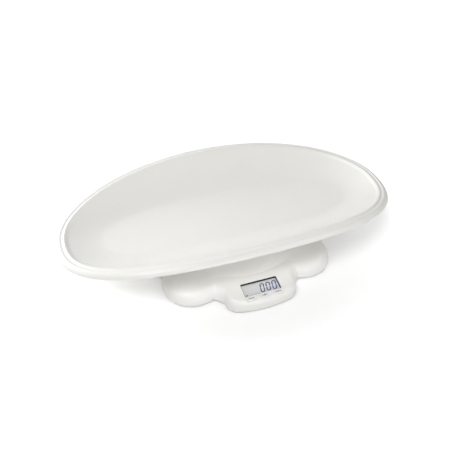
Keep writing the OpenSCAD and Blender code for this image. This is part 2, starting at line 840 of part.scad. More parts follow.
// The z at which an upright lead ends under the board, at a distance of v from the centre.
function under_board(v) = let (u = (window_at - v) / cos(console_tilt))
    console_z(window_at) + u * sin(console_tilt) - (board_deep + board_t) * cos(console_tilt) - fit_gap;

lead_y = window_at - 16.5; // where the leads rise to the board

module cell_leads() {
    color([0.75, 0.1, 0.1]) for (s = [-1, 1]) {
        lead([[s * (foot_x - 12), -foot_y, start_z], [s * (foot_x - 17), -foot_y, start_z + 0.6],
            [s * (foot_x - 22), -foot_y, over_z + 0.2], [s * (foot_x - 26), -foot_y - 1, over_z],
            [s * (foot_x - 31), -foot_y - 5, lead_z + 2], [s * 58, 25 - lead_y, lead_z],
            [s * 46, 11 - lead_y, lead_z + 1], [s * 34, 3 - lead_y, lead_z + 3],
            [s * 29, -lead_y, lead_z + 5], [s * 28.4, -lead_y - 0.4, under_board(lead_y + 0.4)]], lead_r);
        lead([[s * (foot_x - 12), foot_y, start_z], [s * (foot_x - 17), foot_y, start_z + 0.6],
            [s * (foot_x - 22), foot_y, over_z + 0.2], [s * (foot_x - 26), foot_y - 1, over_z],
            [s * (foot_x - 32), foot_y - 6, lead_z + 2], [s * 52, 78, lead_z], [s * 40, 60, lead_z],
            [s * 36, 40, lead_z], [s * 36, -40, lead_z], [s * 38, 33 - lead_y, lead_z],
            [s * 37, 12 - lead_y, lead_z + 1], [s * 26, 2 - lead_y, lead_z + 3],
            [s * 20.6, -lead_y, lead_z + 5], [s * 20, -lead_y - 0.4, under_board(lead_y + 0.4)]], lead_r);
    }
}

module battery_lead() {
    tab_y = bat_front - tab_len - 0.2;
    color(black) for (i = [tab_a, tab_b]) let (x = bat_x(i))
        lead([[x, tab_y, bat_z - 3.7], [x, tab_y - 6, lead_z + 0.4], [x, -30, lead_z],
            [x * 1.4, -60, lead_z], [x * 1.6, 21 - lead_y, lead_z], [x * 1.6, 5 - lead_y, lead_z + 2],
            [x * 1.6, 0.4 - lead_y, lead_z + 5], [x * 1.6, -lead_y, under_board(lead_y)]], 0.9);
}

tray();
top_housing();
bottom_cover();
window_lens();
window_bezel();
lcd_glass();
lcd_holder();
contact_strip();
circuit_board();
board_screws();
key_left();
key_middle();
key_right();
plunger_left();
plunger_middle();
plunger_right();
switch_cases();
load_cell_fl();
load_cell_fr();
load_cell_rl();
load_cell_rr();
foot_fl();
foot_fr();
foot_rl();
foot_rr();
foot_pad_fl();
foot_pad_fr();
foot_pad_rl();
foot_pad_rr();
housing_screws();
battery_door();
battery_1();
battery_2();
battery_3();
battery_4();
battery_springs();
battery_contacts();
cell_leads();
battery_lead();
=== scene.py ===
import math

import bmesh
import bpy
import numpy as np
from mathutils import Matrix, Vector


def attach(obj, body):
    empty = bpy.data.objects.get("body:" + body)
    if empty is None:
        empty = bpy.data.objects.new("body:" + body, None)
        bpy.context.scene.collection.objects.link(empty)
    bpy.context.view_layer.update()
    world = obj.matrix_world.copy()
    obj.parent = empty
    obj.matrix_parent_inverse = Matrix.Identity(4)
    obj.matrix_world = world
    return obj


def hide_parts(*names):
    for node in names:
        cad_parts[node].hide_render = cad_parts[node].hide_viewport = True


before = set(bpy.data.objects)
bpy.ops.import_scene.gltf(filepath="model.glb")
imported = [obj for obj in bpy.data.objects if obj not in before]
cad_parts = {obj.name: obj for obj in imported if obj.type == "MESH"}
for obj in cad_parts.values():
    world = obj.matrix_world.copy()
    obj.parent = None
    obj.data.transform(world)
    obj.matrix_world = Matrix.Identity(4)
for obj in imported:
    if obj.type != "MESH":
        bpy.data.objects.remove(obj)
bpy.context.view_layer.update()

mm = 0.001
scene = bpy.context.scene
print("frame loaded:", len(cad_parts), "nodes")

# The photograph's view: azimuth 0 is the front, and lower angles are further to the left.
camera = {"azimuth": -18.7, "elevation": 41.8, "distance": 792.8, "target": (-18.2, -41.4, 59.5),
          "lens": 39.69, "sensor": 36, "clip": 10}


# The direction of an azimuth and elevation, as a unit vector away from the scale.
def towards(azimuth, elevation):
    a, e = math.radians(azimuth), math.radians(elevation)
    return Vector((math.sin(a) * math.cos(e), -math.cos(a) * math.cos(e), math.sin(e)))


def placeCamera(look):
    data = bpy.data.cameras.new("camera")
    data.sensor_width = look["sensor"]
    data.lens = look["lens"]
    data.clip_start = look["clip"] * mm
    obj = bpy.data.objects.new("camera", data)
    scene.collection.objects.link(obj)
    back = towards(look["azimuth"], look["elevation"])
    obj.location = (Vector(look["target"]) + back * look["distance"]) * mm
    obj.rotation_euler = (-back).to_track_quat("-Z", "Y").to_euler()
    scene.camera = obj


placeCamera(camera)


def paint(obj, material):
    obj.data.materials.clear()
    obj.data.materials.append(material)


# A new piece that rides on a body of the frame and stands in for the nodes it replaces.
def addPiece(name, mesh, body, material, replaced=()):
    obj = bpy.data.objects.new(name, mesh)
    scene.collection.objects.link(obj)
    paint(obj, material)
    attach(obj, body)
    if replaced:
        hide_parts(*replaced)
    return obj


def meshFrom(name, points, faces, sharpAngle):
    mesh = bpy.data.meshes.new(name)
    mesh.from_pydata([tuple(p) for p in points], [], faces)
    tidyMesh(mesh, sharpAngle)
    return mesh


# Outward normals, and smooth shading up to the given angle.
def tidyMesh(mesh, sharpAngle=35):
    bm = bmesh.new()
    bm.from_mesh(mesh)
    bmesh.ops.recalc_face_normals(bm, faces=bm.faces)
    bm.to_mesh(mesh)
    bm.free()
    mesh.shade_smooth()
    mesh.set_sharp_from_angle(angle=math.radians(sharpAngle))


# A closed skin through rings of equal count, given in millimetres, with a fan at each end.
def skinMesh(name, rings, first, last, sharpAngle):
    rings = np.asarray(rings)
    count, around = rings.shape[:2]
    points = np.concatenate([[first], rings.reshape(-1, 3), [last]]) * mm
    faces = []
    for i in range(around):
        j = (i + 1) % around
        faces.append((0, 1 + i, 1 + j))
        for k in range(count - 1):
            a, b = 1 + k * around, 1 + (k + 1) * around
            faces.append((a + i, b + i, b + j, a + j))
        end = 1 + (count - 1) * around
        faces.append((len(points) - 1, end + j, end + i))
    return meshFrom(name, points, faces, sharpAngle)


# Points of a smooth curve through the given points.
def smoothThrough(points, steps):
    p = [np.array(q, float) for q in points]
    p = [2 * p[0] - p[1]] + p + [2 * p[-1] - p[-2]]
    out = []
    for a, b, c, d in zip(p, p[1:], p[2:], p[3:]):
        for k in range(steps):
            u = k / steps
            out.append(0.5 * (2 * b + (c - a) * u + (2 * a - 5 * b + 4 * c - d) * u ** 2
                              + (3 * b - a - 3 * c + d) * u ** 3))
    return out + [p[-2]]


# Faces between rings of equal count, with a flat end at the first ring and at the last.
def closeRings(bm, rings):
    n = len(rings[0])
    for a, b in zip(rings, rings[1:]):
        for i in range(n):
            bm.faces.new((a[i], a[(i + 1) % n], b[(i + 1) % n], b[i]))
    bm.faces.new(rings[0][::-1])
    bm.faces.new(rings[-1])


# An upright prism over a closed outline, from z low to z high, that can widen above growFrom.
def prism(bm, outline, low, high, grow=0.0, growFrom=None):
    levels = [(low, 0.0), (high, grow)]
    if growFrom is not None:
        levels.insert(1, (growFrom, 0.0))
    middle = np.mean(outline, axis=0)
    cornerPull = 1.2
    rings = []
    for z, g in levels:
        ring = []
        for p in outline:
            d = np.array(p) - middle
            away = np.clip(d / np.abs(d).max() * cornerPull, -1, 1)
            q = np.array(p) + away * g
            ring.append(bm.verts.new((q[0], q[1], z)))
        rings.append(ring)
    closeRings(bm, rings)


def circlePoints(x, y, r, count=48):
    return [(x + r * math.cos(2 * math.pi * k / count), y + r * math.sin(2 * math.pi * k / count))
            for k in range(count)]


def roundedRect(w, d, r, y=0.0, steps=6):
    out = []
    for cx, cy, start in ((1, 1, 0), (-1, 1, 90), (-1, -1, 180), (1, -1, 270)):
        for k in range(steps + 1):
            a = math.radians(start + 90 * k / steps)
            out.append((cx * (w / 2 - r) + r * math.cos(a), y + cy * (d / 2 - r) + r * math.sin(a)))
    return out


def stadiumPoints(length, width, x, y, steps=16):
    out = []
    for side, start in ((1, -90), (-1, 90)):
        for k in range(steps + 1):
            a = math.radians(start + 180 * k / steps)
            out.append((x + side * (length - width) / 2 + width / 2 * math.cos(a),
                        y + width / 2 * math.sin(a)))
    return out


def meshOfBm(name, bm, matrix=Matrix.Identity(4), sharpAngle=35):
    bmesh.ops.transform(bm, matrix=Matrix.Scale(mm, 4) @ matrix, verts=bm.verts)
    mesh = bpy.data.meshes.new(name)
    bm.to_mesh(mesh)
    bm.free()
    tidyMesh(mesh, sharpAngle)
    return mesh


# Each tool mesh is joined to the target or cut out of it, one after the other.
def cutOrJoin(target, tools, operation):
    for tool in tools:
        obj = bpy.data.objects.new("tool", tool)
        scene.collection.objects.link(obj)
        mod = target.modifiers.new("shape", "BOOLEAN")
        mod.operation = operation
        mod.solver = "EXACT"
        mod.use_self = operation == "UNION"
        mod.object = obj
        shaped = target.evaluated_get(bpy.context.evaluated_depsgraph_get())
        result = bpy.data.meshes.new_from_object(shaped)
        target.modifiers.clear()
        target.data = result
        bpy.data.objects.remove(obj)
    tidyMesh(target.data)


# Materials are laid out in object space; sizes and depths of grain are in millimetres.

def nodesOf(name):
    mat = bpy.data.materials.new(name)
    mat.use_nodes = True
    tree = mat.node_tree
    return mat, tree, tree.nodes["Principled BSDF"]


def link(tree, a, b):
    tree.links.new(a, b)


def objectPlace(tree):
    return tree.nodes.new("ShaderNodeTexCoord").outputs["Object"]


def noise(tree, place, size, detail):
    node = tree.nodes.new("ShaderNodeTexNoise")
    node.inputs["Scale"].default_value = 1 / (size * mm)
    node.inputs["Detail"].default_value = detail
    link(tree, place, node.inputs["Vector"])
    return node.outputs["Fac"]


def spread(tree, value, low, high, fromLow=0.3, fromHigh=0.7):
    node = tree.nodes.new("ShaderNodeMapRange")
    node.inputs["From Min"].default_value = fromLow
    node.inputs["From Max"].default_value = fromHigh
    node.inputs["To Min"].default_value = low
    node.inputs["To Max"].default_value = high
    link(tree, value, node.inputs["Value"])
    return node.outputs["Result"]


def ramp(tree, value, stops, stepped=False):
    node = tree.nodes.new("ShaderNodeValToRGB")
    node.color_ramp.interpolation = "CONSTANT" if stepped else "LINEAR"
    elements = node.color_ramp.elements
    while len(elements) < len(stops):
        elements.new(0.5)
    for element, (at, colour) in zip(elements, stops):
        element.position = at
        element.color = (*colour, 1)
    link(tree, value, node.inputs["Fac"])
    return node.outputs["Color"]


def bump(tree, shader, height, depth):
    node = tree.nodes.new("ShaderNodeBump")
    node.inputs["Distance"].default_value = depth * mm
    node.inputs["Strength"].default_value = 1.0
    link(tree, height, node.inputs["Height"])
    link(tree, node.outputs["Normal"], shader.inputs["Normal"])


# Roughness that wanders between two values.
def unevenGloss(tree, shader, place, size, low, high, detail=2):
    link(tree, spread(tree, noise(tree, place, size, detail), low, high), shader.inputs["Roughness"])


def oneAxis(tree, place, axis):
    split = tree.nodes.new("ShaderNodeSeparateXYZ")
    link(tree, place, split.inputs["Vector"])
    return split.outputs[axis]


def tint(colour, factor):
    return tuple(min(1.0, c * factor) for c in colour)


# Moulded plastic, rubber or sheet metal: a slightly uneven colour and gloss over a fine grain.
def moulded(name, colour, rough, grain, depth, vary=0.02, metal=0.0):
    mat, tree, shader = nodesOf(name)
    place = objectPlace(tree)
    stops = [(0.3, tint(colour, 1 - vary)), (0.7, tint(colour, 1 + vary))]
    link(tree, ramp(tree, noise(tree, place, 45, 3), stops), shader.inputs["Base Color"])
    unevenGloss(tree, shader, place, 12, rough * 0.9, rough * 1.12, 3)
    shader.inputs["Metallic"].default_value = metal
    bump(tree, shader, noise(tree, place, grain, 2), depth)
    return mat


looks = {
    "trayWhite": dict(colour=(0.915, 0.907, 0.87), rough=0.33, grain=1.6, depth=0.004, vary=0.008),
    "housingWhite": dict(colour=(0.955, 0.948, 0.92), rough=0.34, grain=1.2, depth=0.004, vary=0.008),
    "keyWhite": dict(colour=(0.95, 0.945, 0.93), rough=0.32, grain=0.6, depth=0.004, vary=0.01),
    "coverWhite": dict(colour=(0.74, 0.74, 0.72), rough=0.55, grain=0.7, depth=0.03),
    "footWhite": dict(colour=(0.70, 0.70, 0.68), rough=0.5, grain=0.6, depth=0.02),
    "bezelBlack": dict(colour=(0.010, 0.011, 0.012), rough=0.4, grain=0.4, depth=0.01, vary=0.15),
    "holderWhite": dict(colour=(0.66, 0.67, 0.66), rough=0.5, grain=0.5, depth=0.01),
    "padRubber": dict(colour=(0.025, 0.025, 0.028), rough=0.75, grain=0.35, depth=0.03, vary=0.1),
    "switchTin": dict(colour=(0.55, 0.56, 0.58), rough=0.33, grain=0.3, depth=0.004, metal=1.0),
    "plungerBlack": dict(colour=(0.012, 0.012, 0.014), rough=0.45, grain=0.3, depth=0.006, vary=0.1),
    "screwZinc": dict(colour=(0.62, 0.63, 0.64), rough=0.32, grain=0.25, depth=0.006, vary=0.04, metal=1.0),
    "contactNickel": dict(colour=(0.68, 0.67, 0.64), rough=0.22, grain=0.4, depth=0.004, metal=1.0),
    "wireRed": dict(colour=(0.45, 0.012, 0.010), rough=0.4, grain=0.5, depth=0.01, vary=0.06),
    "wireBlack": dict(colour=(0.012, 0.012, 0.013), rough=0.4, grain=0.5, depth=0.01, vary=0.1),
    "inkDark": dict(colour=(0.045, 0.047, 0.052), rough=0.5, grain=0.2, depth=0.002, vary=0.12),
    "segmentInk": dict(colour=(0.012, 0.014, 0.040), rough=0.6, grain=0.2, depth=0.001, vary=0.15),
}
finishes = {name: moulded(name, **look) for name, look in looks.items()}


# Thin clear plastic, seen only by its reflections and a little of its own white.
def clearLens(name):
    mat, tree, shader = nodesOf(name)
    shader.inputs["Base Color"].default_value = (1, 1, 1, 1)
    shader.inputs["Alpha"].default_value = 0.06
    place = objectPlace(tree)
    unevenGloss(tree, shader, place, 8, 0.04, 0.08)
    bump(tree, shader, noise(tree, place, 3, 1), 0.001)
    return mat


# Grey at the left end of the glass and bluer towards the right.
def liquidCrystal(name):
    mat, tree, shader = nodesOf(name)
    place = objectPlace(tree)
    halfLength = 28 * mm
    across = spread(tree, oneAxis(tree, place, "X"), 0, 1, -halfLength, halfLength)
    stops = [(0.0, (0.80, 0.81, 0.81)), (0.45, (0.79, 0.80, 0.82)), (0.62, (0.78, 0.81, 0.91)),
             (1.0, (0.78, 0.82, 0.95))]
    link(tree, ramp(tree, across, stops), shader.inputs["Base Color"])
    unevenGloss(tree, shader, place, 5, 0.29, 0.36)
    bump(tree, shader, noise(tree, place, 0.4, 1), 0.001)
    return mat


# Green lacquer over a fine pattern of copper.
def circuitBoard(name):
    mat, tree, shader = nodesOf(name)
    place = objectPlace(tree)
    bricks = tree.nodes.new("ShaderNodeTexBrick")
    bricks.inputs["Scale"].default_value = 160
    bricks.inputs["Mortar Size"].default_value = 0.03
    bricks.inputs["Color1"].default_value = (0.008, 0.085, 0.030, 1)
    bricks.inputs["Color2"].default_value = (0.010, 0.105, 0.038, 1)
    bricks.inputs["Mortar"].default_value = (0.030, 0.22, 0.07, 1)
    link(tree, place, bricks.inputs["Vector"])
    link(tree, bricks.outputs["Color"], shader.inputs["Base Color"])
    unevenGloss(tree, shader, place, 3, 0.29, 0.42)
    bump(tree, shader, bricks.outputs["Fac"], 0.03)
    return mat


# Sheet steel with fine rolling marks along Y.
def rolledSteel(name):
    mat, tree, shader = nodesOf(name)
    place = objectPlace(tree)
    stretch = tree.nodes.new("ShaderNodeMapping")
    stretch.inputs["Scale"].default_value = (1, 0.06, 1)
    link(tree, place, stretch.inputs["Vector"])
    marks = noise(tree, stretch.outputs["Vector"], 0.5, 3)
    stops = [(0.3, (0.50, 0.50, 0.51)), (0.7, (0.62, 0.62, 0.63))]
    link(tree, ramp(tree, marks, stops), shader.inputs["Base Color"])
    link(tree, spread(tree, marks, 0.29, 0.42), shader.inputs["Roughness"])
    shader.inputs["Metallic"].default_value = 1.0
    bump(tree, shader, marks, 0.004)
    return mat


# Rubber with fine conducting layers.
def zebraRubber(name):
    mat, tree, shader = nodesOf(name)
    place = objectPlace(tree)
    wave = tree.nodes.new("ShaderNodeTexWave")
    wave.inputs["Scale"].default_value = 500
    link(tree, place, wave.inputs["Vector"])
    stops = [(0.45, (0.75, 0.42, 0.38)), (0.55, (0.02, 0.02, 0.02))]
    link(tree, ramp(tree, wave.outputs["Fac"], stops), shader.inputs["Base Color"])
    unevenGloss(tree, shader, place, 1, 0.5, 0.7)
    bump(tree, shader, wave.outputs["Fac"], 0.02)
    return mat


# A printed can from y low to y high: steel ends, a dark band, and a copper band at the nub end.
def batteryCan(name, low, high, nubAtLow):
    mat, tree, shader = nodesOf(name)
    place = objectPlace(tree)
    start, end = (low, high) if nubAtLow else (high, low)
    along = spread(tree, oneAxis(tree, place, "Y"), 0, 1, start, end)
    steel, copper, dark = (0.60, 0.60, 0.60), (0.52, 0.22, 0.05), (0.015, 0.016, 0.018)
    stops = [(0.0, steel), (0.035, copper), (0.30, dark), (0.975, steel)]
    link(tree, ramp(tree, along, stops, stepped=True), shader.inputs["Base Color"])
    unevenGloss(tree, shader, place, 6, 0.18, 0.26)
    shader.inputs["Metallic"].default_value = 0.8
    bump(tree, shader, noise(tree, place, 0.8, 2), 0.004)
    return mat


finishes["lens"] = clearLens("lens")
finishes["liquidCrystal"] = liquidCrystal("liquidCrystal")
finishes["board"] = circuitBoard("board")
finishes["cellSteel"] = rolledSteel("cellSteel")
finishes["zebra"] = zebraRubber("zebra")
print("materials made:", len(finishes))


# Run is how far the bowl's wall reaches inwards, at the long sides and at the ends; the crest is the
# height of the rim there. Square is the power of the oval outline, 2 for an ellipse.
tray = {"length": 560, "width": 288, "frontSquare": 2.45, "backSquare": 2.05, "around": 320,
        "crestEnd": 65, "crestSide": 92, "endRun": 52, "sideRun": 68, "wallCurve": 1.5, "wallSteps": 22,
        "under": 46.3, "wall": 2.8, "rim": 14, "drop": 9, "ridge": 0.7, "rimInside": 6.5,
        "rimInsideDrop": 3.2, "pegR": 8, "pegH": 7, "pegX": 58, "pegY": 34, "pegSides": 64, "pegLap": 0.2}


# A level of the tray, moved in from its outline.
def trayPoints(angle, inset, z):
    power = 2 / np.where(np.sin(angle) < 0, tray["frontSquare"], tray["backSquare"])
    c, s = np.cos(angle), np.sin(angle)
    x = (tray["length"] / 2 - inset) * np.sign(c) * np.abs(c) ** power
    y = (tray["width"] / 2 - inset) * np.sign(s) * np.abs(s) ** power
    return np.stack([x, y, np.broadcast_to(z, x.shape)], axis=-1)


def makeTray(look):
    angle = np.arange(look["around"]) * 2 * math.pi / look["around"]
    crestMiddle = (look["crestSide"] + look["crestEnd"]) / 2
    crest = crestMiddle - (look["crestSide"] - look["crestEnd"]) / 2 * np.cos(2 * angle)
    run = look["sideRun"] + (look["endRun"] - look["sideRun"]) * np.cos(angle) ** 2
    floor = look["under"] + look["wall"]
    rim, drop, wall = look["rim"], look["drop"], look["wall"]
    rimIn, rimInDrop = rim + look["rimInside"], look["rimInsideDrop"]

    def bowl(f):
        return rimIn + run * (1 - f), floor + (crest - rimInDrop - floor) * f ** look["wallCurve"]

    def bowlUnder(f, near=0.02):
        inset, z = bowl(f)
        (i0, z0), (i1, z1) = bowl(max(f - near, 0)), bowl(min(f + near, 1))
        slope = np.arctan2(z1 - z0, i0 - i1) if f > 0 else 0 * angle
        return inset - wall * np.sin(slope), z - wall * np.cos(slope)

    # The rim's section as distances inside the outline and below the crest, first its upper side.
    ridge = look["ridge"]
    over = [(rimIn, rimInDrop), (rim + 4.0, 1.35), (rim + 2.2, 0.3), (rim + 0.6, 0), (rim - 1.2, ridge),
            (rim * 0.76, ridge + 0.35), (rim * 0.58, 0.45), (rim * 0.4, 1.2), (rim * 0.24, 2.5),
            (rim * 0.11, 4.3), (rim * 0.03, 6.2), (0, drop - 1.4), (0.4, drop - 0.4), (1.4, drop)]
    under = [(1.4, drop), (2.4, drop - 0.4), (wall + 0.1, drop - 1.5), (rim * 0.3 + 0.6, 5.2),
             (rim * 0.5, 3.9), (rim * 0.75, wall + 0.3), (rim, wall), (rim + 2.1, wall + 0.9)]
    steps = look["wallSteps"]
    rings = [trayPoints(angle, *bowl(k / steps)) for k in range(steps + 1)]
    rings += [trayPoints(angle, p[0], crest - p[1]) for p in smoothThrough(over, 5)[1:]]
    rings += [trayPoints(angle, p[0], crest - p[1]) for p in smoothThrough(under, 4)[1:]]
    rings += [trayPoints(angle, *bowlUnder(k / steps)) for k in range(steps, -1, -1)]
    mesh = skinMesh("weighingTray", rings, (0, 0, floor), (0, 0, look["under"]), 50)
    addPiece("weighingTray", mesh, "tray", finishes["trayWhite"], ["tray"])


pegAt = [(x * tray["pegX"], y * tray["pegY"]) for x in (-1, 1) for y in (-1, 1)]


# Hollow pegs under the tray, rooted inside its wall.
def makePegs(look):
    bm = bmesh.new()
    low, top = look["under"] - look["pegH"], look["under"] + look["wall"] / 2
    outer, inner = look["pegR"], look["pegR"] - look["wall"]
    profile = [(outer, top), (outer, low + 0.8), (outer - 0.3, low + 0.25), (outer - 0.8, low),
               (inner, low), (inner, look["under"] + look["pegLap"])]
    for x, y in pegAt:
        closeRings(bm, [[bm.verts.new((*p, z)) for p in circlePoints(x, y, r, look["pegSides"])]
                        for r, z in profile])
    addPiece("trayPegs", meshOfBm("trayPegs", bm), "tray", finishes["trayWhite"])


makeTray(tray)
makePegs(tray)
print("tray made")


# Radii are taken from the middle of the base, and angles from its front lobe. From, over: where
# the softer edge or crease starts beside the front lobe, and how many degrees the change takes.
base = {"frontReach": 172.5, "frontHalf": 13.2, "frontRound": 19, "cornerReach": 174.5, "cornerRound": 39,
        "cornerAt": 44.6, "sideReach": 146, "sideHalf": 10, "sideRound": 40, "hub": 144.8, "blend": 10,
        "platformZ": 46, "platformR": 100, "flankRound": 4, "creaseR": 125, "creaseZ": 27, "tilt": 4,
        "edgeR": 8, "edgeH": 11, "lobeEdgeR": 19, "lobeEdgeH": 16, "lobeEdgeFrom": 13, "lobeEdgeOver": 14,
        "ledge": 3, "creaseSharp": 0.5, "creaseSoft": 19, "creaseFrom": 22, "creaseOver": 13,
        "wall": 2.5, "gap": 3.5, "draft": 0.8, "skirt": 1.5, "floor": 2.5, "around": 540,
        "bossR": 4, "loadPostR": 5, "loadPostLow": 12.3, "loadPostShort": 0.6,
        "socketWall": 2, "socketSpare": 1, "socketFlare": 1.6, "socketFlareH": 0.6}
display = {"width": 57.5, "depth": 23.6, "at": 149.5, "flare": 0.9, "flareH": 0.35, "plateOver": 2.7,
           "proud": 0.5, "glassDeep": 3.9, "boardDeep": 8.9, "boardT": 1.6,
           "postR": 2.6, "postGap": 1.6, "postY": (-8, 12),
           "keyGap": 1.7, "keyPitch": 21.3, "keyLength": 15.5, "keyWidth": 6.8, "keyFlare": 0.7,
           "keyFlareH": 0.3, "flangeT": 0.8, "flangeGap": 0.4, "flangeOver": 2.4}
keyAt = display["depth"] / 2 + display["keyGap"] + display["keyWidth"] / 2
slideGap, fitGap = 0.3, 0.2


# The angle between two directions.
def turn(a, b):
    return np.abs((a - b + 540) % 360 - 180)


# 0 at the front and back lobes and 1 well beside them, with an easy change.
def besideLobe(a, start, over):
    u = np.clip((np.minimum(turn(a, 0), turn(a, 180)) - start) / over, 0, 1)
    return u * u * (3 - 2 * u)


# The reach of one round-nosed lobe, whose nose has radius q.
def lobe(a, at, half, reach, q):
    d = np.maximum(0, turn(a, at) - half)
    rho = reach - q
    s = rho * np.sin(np.radians(np.minimum(d, 90)))
    c = rho * np.cos(np.radians(d))
    r = np.where(s < q, c + np.sqrt(np.maximum(q * q - s * s, 0)), np.maximum(0, c - (s - q)))
    return np.where(d > 60, 0, r)


def outlineRadius(a):
    b = base
    total = b["hub"] ** b["blend"]
    for at in (0, 180):
        total = total + lobe(a, at, b["frontHalf"], b["frontReach"], b["frontRound"]) ** b["blend"]
    for at in (b["cornerAt"], 180 - b["cornerAt"], 180 + b["cornerAt"], 360 - b["cornerAt"]):
        total = total + lobe(a, at, 0, b["cornerReach"], b["cornerRound"]) ** b["blend"]
    for at in (90, 270):
        total = total + lobe(a, at, b["sideHalf"], b["sideReach"], b["sideRound"]) ** b["blend"]
    return total ** (1 / b["blend"])


# The height of the sloping ring outside the crease, where the display is.
def consoleZ(r):
    return base["creaseZ"] - (r - base["creaseR"]) * math.tan(math.radians(base["tilt"]))


def topZ(r):
    b = base
    if r < b["platformR"]:
        return b["platformZ"]
    if r < b["creaseR"]:
        down = (r - b["platformR"]) / (b["creaseR"] - b["platformR"])
        return b["platformZ"] + down * (b["creaseZ"] - b["platformZ"])
    return consoleZ(r)


# A point at v on the arc from p to s that bends towards q.
def arc(p, q, s, v):
    return (1 - v) ** 2 * p + 2 * v * (1 - v) * q + v * v * s


# Section of the housing at each angle, as (radius, height) pairs of arrays, moved in by t.
def housingSection(a, t):
    b = base
    r = outlineRadius(a)
    side = besideLobe(a, b["lobeEdgeFrom"], b["lobeEdgeOver"])
    edgeR = b["edgeR"] + (b["lobeEdgeR"] - b["edgeR"]) * side
    edgeH = b["edgeH"] + (b["lobeEdgeH"] - b["edgeH"]) * side
    edgeR = np.minimum(edgeR, np.maximum(r - b["draft"] - b["creaseR"] - b["ledge"], b["edgeR"]))
    edge = r - b["draft"] - edgeR
    edgeZ = consoleZ(edge)
    run, fall, f = b["creaseR"] - b["platformR"], b["platformZ"] - b["creaseZ"], b["flankRound"]
    w = b["creaseSharp"] + b["creaseSoft"] * besideLobe(a, b["creaseFrom"], b["creaseOver"])
    w = np.minimum(w, run - f - 1)
    w = np.minimum(w, np.maximum(edge - b["creaseR"] - 1, b["creaseSharp"]))
    slope, tilt = math.atan2(fall, run), math.radians(b["tilt"])
    one = np.ones_like(r)
    out = []
    flankSteps, creaseSteps, edgeSteps = 8, 12, 12
    for k in range(flankSteps + 1):
        v = k / flankSteps
        g = slope * v
        x = arc(b["platformR"] - f, b["platformR"], b["platformR"] + f, v)
        z = arc(b["platformZ"], b["platformZ"], topZ(b["platformR"] + f), v)
        out.append(((x - t * math.sin(g)) * one, (z - t * math.cos(g)) * one))
    for k in range(creaseSteps + 1):
        v = k / creaseSteps
        g = slope + (tilt - slope) * v
        x = arc(b["creaseR"] - w, b["creaseR"], b["creaseR"] + w, v)
        z = arc(b["creaseZ"] + w * (fall / run), b["creaseZ"], consoleZ(b["creaseR"] + w), v)
        out.append((x - t * math.sin(g), z - t * math.cos(g)))
    for k in range(edgeSteps + 1):
        g = math.radians(90 * k / edgeSteps)
        out.append((edge + (edgeR - t) * math.sin(g), edgeZ - edgeH + (edgeH - t) * math.cos(g)))
    low = b["gap"]
    for x, z in ((0, low + 3.5), (0.45, low + 1.4), (b["skirt"], low)):
        out.append((r - x - t, z * one))
    return out


# The display's plane: x to the right, y up the slope, z out of the housing, from the window's middle.
def consoleMatrix():
    return Matrix.Translation((0, -display["at"], consoleZ(display["at"]))) @ Matrix.Rotation(
        math.radians(base["tilt"]), 4, "X")


bossAt = [(26, -120), (-26, -120), (134, 0), (-134, 0), (26, 150), (-26, 150), (0, -102), (0, 112)]
footAt = [(-96, -98), (96, -98), (-96, 98), (96, 98)]
coverTop = base["gap"] + base["floor"]
bossLow = coverTop + 4
boardPostX = display["width"] / 2 + display["plateOver"] + display["postR"] + display["postGap"]


def keyOutline(side, more):
    return stadiumPoints(display["keyLength"] + more, display["keyWidth"] + more,
                         side * display["keyPitch"], -keyAt)


def makeHousing(look, panel):
    a = np.arange(look["around"]) * 360 / look["around"]
    rad = np.radians(a)

    def ring(pair):
        return np.stack([pair[0] * np.sin(rad), -pair[0] * np.cos(rad), pair[1]], axis=-1)

    rings = [ring(p) for p in housingSection(a, 0)] + [ring(p) for p in housingSection(a, look["wall"])[::-1]]
    top = look["platformZ"]
    mesh = skinMesh("baseHousing", rings, (0, 0, top), (0, 0, top - look["wall"]), 40)
    obj = addPiece("baseHousing", mesh, "base", finishes["housingWhite"], ["top_housing"])
    half = look["wall"] / 2
    works = []
    bm = bmesh.new()
    bossR, postR = look["bossR"], look["loadPostR"]
    for p in bossAt:
        prism(bm, circlePoints(*p, bossR), bossLow, topZ(math.hypot(*p) + bossR) - half)
    for p in footAt:
        prism(bm, circlePoints(*p, postR), look["loadPostLow"],
              topZ(math.hypot(*p) + postR) - half - look["loadPostShort"])
    socketR, socketLow = tray["pegR"] + slideGap, top - tray["pegH"] - look["socketSpare"]
    for p in pegAt:
        prism(bm, circlePoints(*p, socketR + look["socketWall"], tray["pegSides"]),
              socketLow - look["socketWall"], top - half)
    works.append(meshOfBm("bosses", bm))
    bm = bmesh.new()
    for x in (-boardPostX, boardPostX):
        for y in panel["postY"]:
            prism(bm, circlePoints(x, y, panel["postR"]), -panel["boardDeep"], -look["wall"] * 0.7)
    works.append(meshOfBm("posts", bm, consoleMatrix()))
    cutOrJoin(obj, works, "UNION")
    cuts = []
    past, through = 1, 6  # how far the cutters stand out of the surface, and go in
    bm = bmesh.new()
    for p in pegAt:
        prism(bm, circlePoints(*p, socketR, tray["pegSides"]), socketLow, top + past,
              look["socketFlare"], top - look["socketFlareH"])
    cuts.append(meshOfBm("sockets", bm))
    bm = bmesh.new()
    window = roundedRect(panel["width"], panel["depth"], 1)
    prism(bm, window, -through, past, panel["flare"], -panel["flareH"])
    for k in (-1, 0, 1):
        prism(bm, keyOutline(k, 2 * slideGap), -through, past, panel["keyFlare"], -panel["keyFlareH"])
    cuts.append(meshOfBm("openings", bm, consoleMatrix()))
    cutOrJoin(obj, cuts, "DIFFERENCE")
    paint(obj, finishes["housingWhite"])


makeHousing(base, display)
print("housing made")


